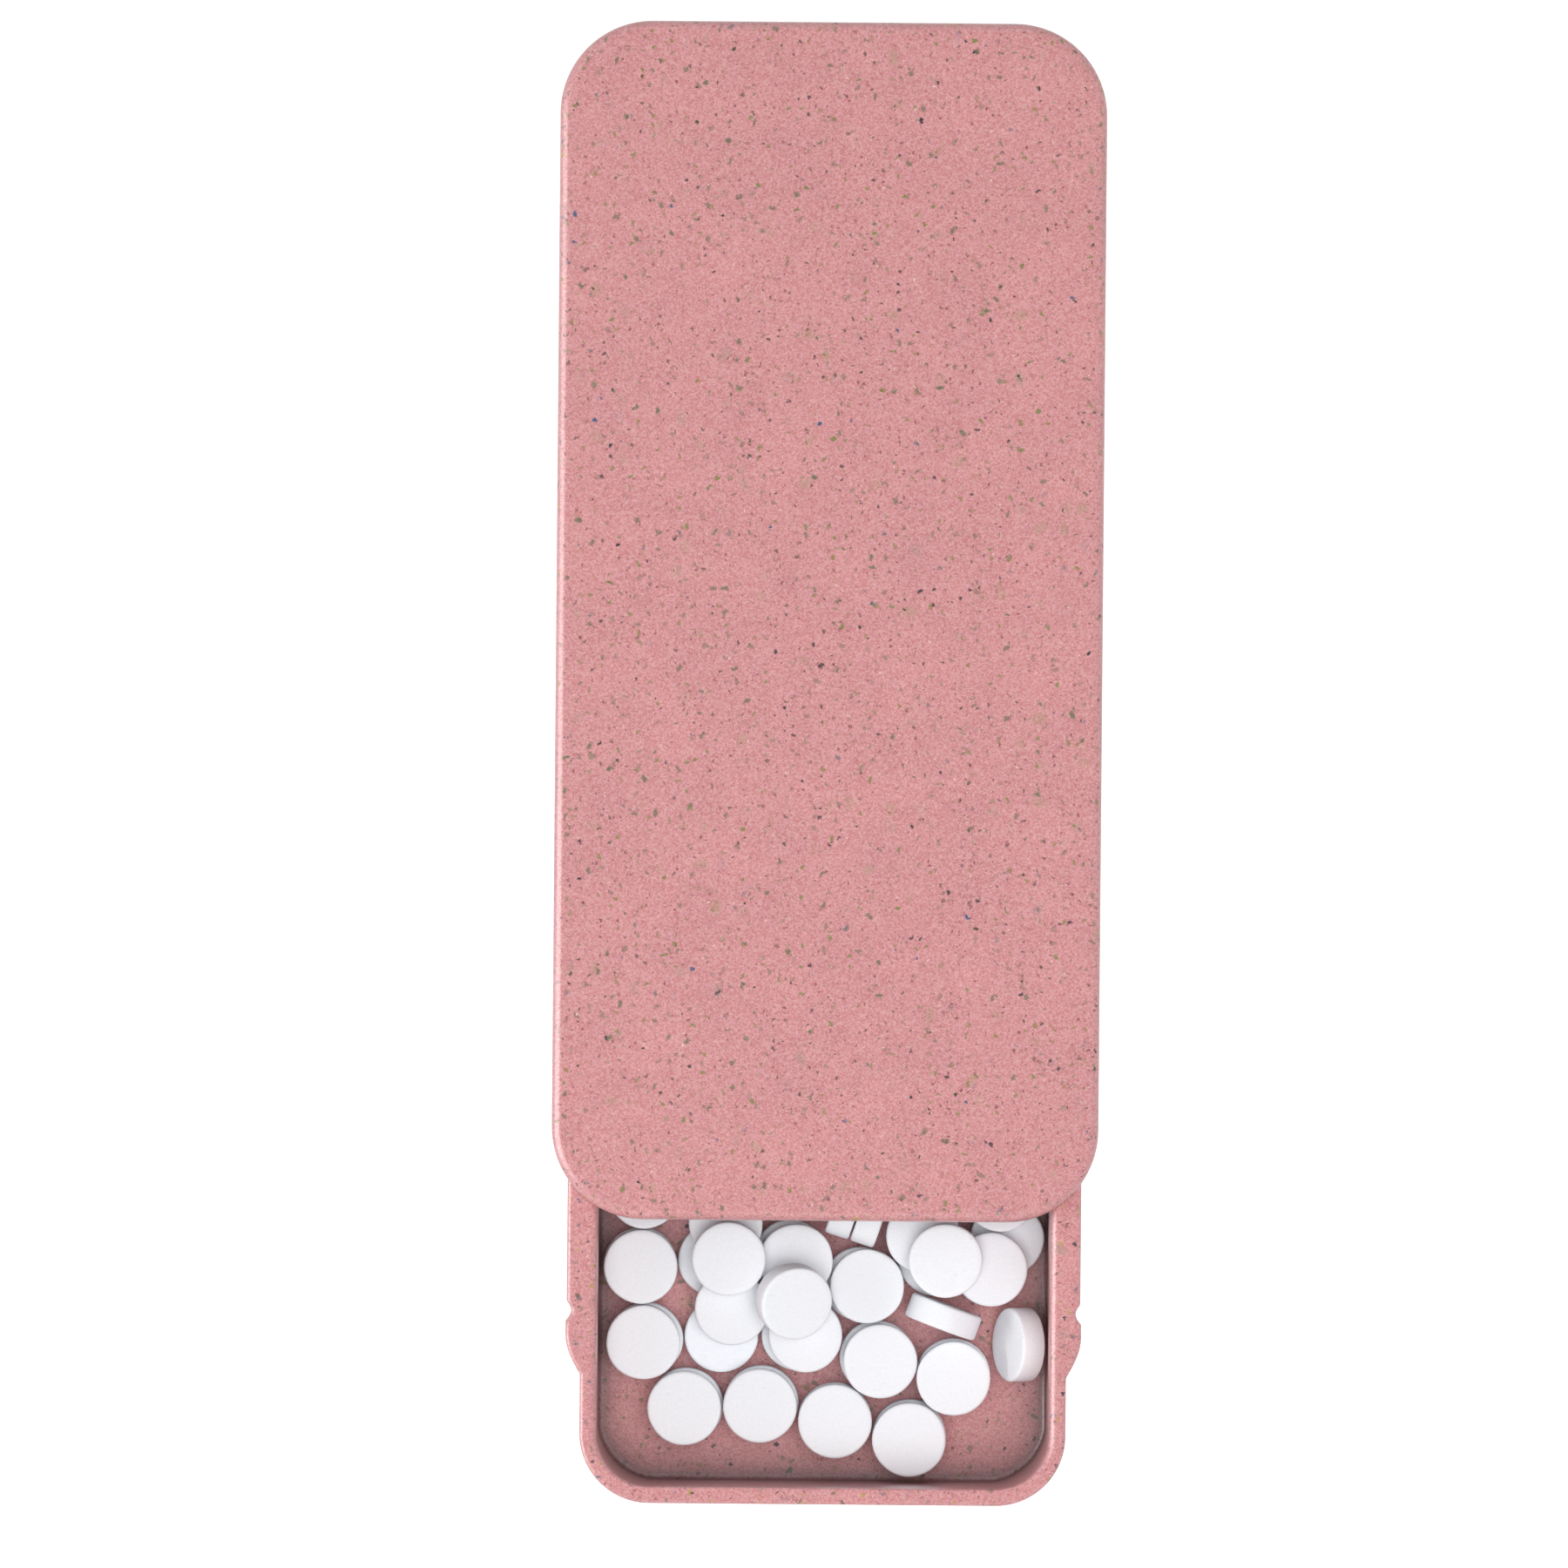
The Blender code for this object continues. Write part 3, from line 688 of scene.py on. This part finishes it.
lid_side = np.linspace(lid_low[1] + LID_CORNER, lid_high[1] - LID_CORNER, LID_SIDE_POINTS + 2)[1:-1]
lid_outline = rounded_outline(
    lid_high[0], lid_low[1], lid_high[1], LID_CORNER, LID_CORNER, lid_side,
)
lid_rings = [ring(lid_outline, -LID_FOOT_ROUND - SUPPORT, lid_low[2])]
for inward, up in round_section(LID_FOOT_ROUND, LID_FOOT_STEPS)[::-1]:
    lid_rings.append(ring(lid_outline, -inward, lid_low[2] + LID_FOOT_ROUND - up))
for inward, up in round_section(LID_TOP_ROUND, LID_TOP_STEPS):
    lid_rings.append(ring(lid_outline, -inward, lid_high[2] - LID_TOP_ROUND + up))
lid_rings.append(ring(lid_outline, -LID_TOP_ROUND - SUPPORT, lid_high[2]))
lid_shell = add_piece("lid_shell", skin("lid_plate", lid_rings), lid_composite)

# %% [markdown]
# The channel is a solid of its own for a moment. It runs past the plate at the leading end and
# underneath, so that the cut is clean there. A nub on each side makes it narrower, and so stands out
# from the finished side wall.

# %% The lid's channel
NUB_MIDDLE, NUB_LENGTH, NUB_REACH = 16.4 * MM, 0.9 * MM, 0.3 * MM
CHANNEL_ROUND, LIP_ROUND, OVERRUN = 0.25 * MM, 0.15 * MM, 2.0 * MM
NUB_STEPS, LIP_STEPS, CHANNEL_STEPS = 12, 3, 4
FACES_SIDE = 0.999

nub_along = np.linspace(-0.5, 0.5, NUB_STEPS + 1) * NUB_LENGTH + NUB_MIDDLE
channel_outline = rounded_outline(
    lid_high[0] - LIP_REACH, lid_low[1] - OVERRUN, lid_high[1] - LIP_REACH,
    0.0, LID_CORNER - LIP_REACH, lid_low[1] + nub_along,
)
on_channel_side = np.abs(channel_outline[1][:, 0]) > FACES_SIDE
nub_share = (channel_outline[0][:, 1] - lid_low[1] - NUB_MIDDLE) / NUB_LENGTH + 0.5
nub_wave = np.sin(math.pi * np.clip(nub_share, 0.0, 1.0)) ** 2
nub = np.where(on_channel_side, NUB_REACH * nub_wave, 0.0)
wide = LIP_REACH - LID_WALL - nub
lip_top = lid_low[2] + LIP_THICKNESS
channel_top = lid_high[2] - LID_PANEL

channel_rings = [ring(channel_outline, LIP_ROUND, lid_low[2] - OVERRUN)]
for inward, up in round_section(LIP_ROUND, LIP_STEPS)[::-1]:
    channel_rings.append(ring(channel_outline, inward, lid_low[2] + LIP_ROUND - up))
for inward, up in round_section(LIP_ROUND, LIP_STEPS):
    channel_rings.append(ring(channel_outline, inward, lip_top - LIP_ROUND + up))
channel_rings.append(ring(channel_outline, wide, lip_top))
for inward, up in round_section(CHANNEL_ROUND, CHANNEL_STEPS):
    channel_rings.append(ring(channel_outline, wide - inward, channel_top - CHANNEL_ROUND + up))
print(len(channel_rings), "rings round the channel")


# %% The lid's cut
def cut_out(piece, mesh):
    """Takes the mesh's space out of a piece with an exact Boolean, applied at once."""
    space = bpy.data.objects.new("space", mesh)
    bpy.context.collection.objects.link(space)
    cut = piece.modifiers.new("cut", "BOOLEAN")
    cut.operation, cut.solver, cut.object = "DIFFERENCE", "EXACT", space
    finished = piece.evaluated_get(bpy.context.evaluated_depsgraph_get())
    piece.data = bpy.data.meshes.new_from_object(finished)
    piece.modifiers.clear()
    bpy.data.objects.remove(space)
    shaded(piece.data)


cut_out(lid_shell, skin("lid_channel", channel_rings))
print("lid after the cut:", len(lid_shell.data.polygons), "faces")
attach(lid_shell, "lid")
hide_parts("lid")

# %% [markdown]
# ## The mints
#
# The press leaves each mint a flat disc with a small bevel, because a sharp edge would crumble. Every
# CAD disc becomes such a tablet in the same place: its centre is the mean of its corners, and its
# axis is the direction in which they spread least. One tablet could be copied to all the places, but
# real mints rub their edges against each other and no two match. So each is made on its own, and its
# outline wavers by a hundredth of a millimetre or two, from its own seed.

# %% A tablet in place of each disc
MINT_RADIUS, MINT_HALF = 2.98 * MM, 0.99 * MM
MINT_BEVEL, BEVEL_STEPS = 0.22 * MM, 3
FACE_SUPPORT = 0.3 * MM
MINT_POINTS = 48
AROUND = np.linspace(0.0, 2.0 * math.pi, MINT_POINTS + 1)[:-1]

# Shares of the radius by which three and five lobes waver.
THREE_LOBES, FIVE_LOBES = 0.0035, 0.0025


def disc_place(disc):
    """The centre of a disc's corners and three unit directions, the last along its axis.

    Corners that agree to seven decimals of a metre count once.
    """
    flat = np.empty(3 * len(disc.data.vertices))
    disc.data.vertices.foreach_get("co", flat)
    corners = np.unique(flat.reshape(-1, 3).round(7), axis=0)
    centre = corners.mean(axis=0)
    directions = np.linalg.eigh(np.cov((corners - centre).T))[1]
    axis = directions[:, 0] * (1.0 if directions[2, 0] >= 0.0 else -1.0)
    across = np.cross(axis, directions[:, 1])
    return centre, np.stack([directions[:, 1], across, axis])


def tablet(name, centre, directions, seed):
    """A disc turned about its axis: its section, at a radius R(a) that wavers round it.

    R(a) is the mint's radius times 1 + t sin(3a + p) + f sin(5a + q), where t and f are the shares
    of the lobes and p and q are random angles.
    """
    turns = np.random.default_rng(seed).uniform(0.0, 2.0 * math.pi, 2)
    waver = 1.0 + THREE_LOBES * np.sin(3 * AROUND + turns[0]) + FIVE_LOBES * np.sin(5 * AROUND + turns[1])
    bevel = round_section(MINT_BEVEL, BEVEL_STEPS)
    section = [(MINT_BEVEL + FACE_SUPPORT, -MINT_HALF)]
    section += [(inward, MINT_BEVEL - up - MINT_HALF) for inward, up in bevel[::-1]]
    section += [(inward, MINT_HALF - MINT_BEVEL + up) for inward, up in bevel]
    section += [(MINT_BEVEL + FACE_SUPPORT, MINT_HALF)]
    rings = []
    for inward, height in section:
        radius = MINT_RADIUS * waver - inward
        local = np.column_stack([
            radius * np.cos(AROUND), radius * np.sin(AROUND), np.full(len(AROUND), height),
        ])
        rings.append(centre + local @ directions)
    return skin(name, rings)


mint_names = sorted(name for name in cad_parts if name.startswith("mint_"))
for seed, name in enumerate(mint_names):
    centre, directions = disc_place(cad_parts[name])
    piece = add_piece(name + "_tablet", tablet(name, centre, directions, seed), mint_sugar)
    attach(piece, "tray")
    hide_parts(name)

# %% [markdown]
# ## Floor, light and camera
#
# The box lies on a sheet of white paper. To the camera the paper adds a little light of its own, so
# that it reads as white while the box still shades it.
#
# The lid in the photograph has a bright line along its left edge and a dark one along its right, so
# a strip of light stands low on the left. The mints are lit evenly, so most of the light falls from
# above. One large lamp would do for both, but its mirror image would lie over the lid as a veil. So
# plain light and shine come from lamps of their own, as a photographer parts them with flags and
# polarising sheets. The strip that shines is the taller one, so that its image runs along the whole
# of the rounds. A dome of plain light fills the rest.

# %% Floor
PAPER = "#E6E6E6"
CAMERA_LIFT, MIRROR_LIFT = 0.72, 0.25
FLOOR_HALF, FLOOR_DROP = 3.0, 0.01 * MM


def white_floor():
    """Matt white paper, lifted to full white for the camera and less for reflections.

    Its underside lets everything through, so that the box can be looked at from below too.
    """
    material = bpy.data.materials.new("white paper")
    material.use_nodes = True
    tree = material.node_tree
    tree.nodes.clear()
    rays = node(tree, "LightPath", {})
    mirrored = node(tree, "Math", {
        0: rays.outputs["Is Glossy Ray"], 1: rays.outputs["Is Transmission Ray"],
    }, operation="MAXIMUM")
    mirror_lift = node(tree, "Math", {0: mirrored.outputs[0], 1: MIRROR_LIFT}, operation="MULTIPLY")
    lift = node(tree, "Math", {
        0: rays.outputs["Is Camera Ray"], 1: CAMERA_LIFT, 2: mirror_lift.outputs[0],
    }, operation="MULTIPLY_ADD")
    paper = node(tree, "BsdfDiffuse", {"Color": linear(PAPER)})
    glow = node(tree, "Emission", {"Strength": lift.outputs[0]})
    both = node(tree, "AddShader", {0: paper.outputs[0], 1: glow.outputs[0]})
    under = node(tree, "NewGeometry", {}).outputs["Backfacing"]
    clear = node(tree, "BsdfTransparent", {})
    sheet = node(tree, "MixShader", {0: under, 1: both.outputs[0], 2: clear.outputs[0]})
    node(tree, "OutputMaterial", {"Surface": sheet.outputs[0]})
    return material


across, along = np.meshgrid((-FLOOR_HALF, FLOOR_HALF), (-FLOOR_HALF, FLOOR_HALF))
floor_mesh = bpy.data.meshes.new("floor")
floor_mesh.from_pydata(
    np.column_stack([across.ravel(), along.ravel(), np.full(4, -FLOOR_DROP)]), [], [(0, 1, 3, 2)],
)
floor = add_piece("floor", floor_mesh, white_floor())

# %% [markdown]
# The dome gives plain light at about a third of the strength at which it is seen and mirrored, so it
# shows as white and still leaves the shades to the lamps.

# %% World
DOME_LIGHT, DOME_SEEN = 0.36, 1.0

world = bpy.data.worlds.new("studio")
world.use_nodes = True
sky = world.node_tree
sky.nodes.clear()
rays = node(sky, "LightPath", {})
mirrored = node(sky, "Math", {
    0: rays.outputs["Is Glossy Ray"], 1: rays.outputs["Is Transmission Ray"],
}, operation="MAXIMUM")
seen = node(sky, "Math", {
    0: rays.outputs["Is Camera Ray"], 1: mirrored.outputs[0],
}, operation="MAXIMUM")
strength = node(sky, "MapRange", {"Value": seen.outputs[0], "To Min": DOME_LIGHT, "To Max": DOME_SEEN})
dome = node(sky, "Background", {"Color": linear("#FFFFFF"), "Strength": strength.outputs[0]})
node(sky, "OutputWorld", {"Surface": dome.outputs[0]})
bpy.context.scene.world = world
print(f"dome: strength {DOME_LIGHT} as light, {DOME_SEEN} where it is seen")


# %% Lamps
def softbox(name, place, width, height, watts, plain, shine):
    """A lamp that faces the box from its place, in metres. It may give plain light, shine or both."""
    lamp = bpy.data.lights.new(name, "AREA")
    lamp.shape, lamp.size, lamp.size_y, lamp.energy = "RECTANGLE", width, height, watts
    stand = bpy.data.objects.new(name, lamp)
    stand.location = place
    stand.rotation_euler = Vector(place).to_track_quat("Z", "Y").to_euler()
    stand.visible_camera, stand.visible_diffuse, stand.visible_glossy = False, plain, shine
    bpy.context.collection.objects.link(stand)
    print(f"{name}: {width} x {height} m, {watts} W")


softbox(
    "left strip", (-0.94, -0.14, 0.27), width=0.6, height=0.35, watts=3.6, plain=True, shine=False,
)
softbox(
    "left strip, shine", (-0.81, -0.14, 0.52), width=0.6, height=1.0, watts=10.0, plain=False, shine=True,
)
softbox(
    "overhead softbox", (0.05, -0.12, 0.62), width=0.45, height=0.45, watts=2.75, plain=True, shine=False,
)

# %% [markdown]
# The camera hangs a metre over the floor and looks straight down. Its lens is long, so the lid and
# the tray keep their true widths against each other, and the strip of the tray's near wall shows
# only a little. It stands a few millimetres off centre, turned by half a degree, as the photograph
# frames the box.

# %% Camera
CAMERA_PLACE = (-0.00353, 0.01146, 0.999)
CAMERA_TURN = math.radians(0.5)
SENSOR_WIDTH, LENS = 36.0, 282.6

camera_data = bpy.data.cameras.new("overhead")
camera_data.sensor_width, camera_data.lens = SENSOR_WIDTH, LENS
camera_data.clip_start = 0.01
camera = bpy.data.objects.new("overhead", camera_data)
camera.location = CAMERA_PLACE
camera.rotation_euler = (0.0, 0.0, CAMERA_TURN)
bpy.context.collection.objects.link(camera)
bpy.context.scene.camera = camera
bpy.context.scene.view_settings.view_transform = "Standard"
print(f"camera {CAMERA_PLACE[2]:.3f} m up, {LENS} mm lens")
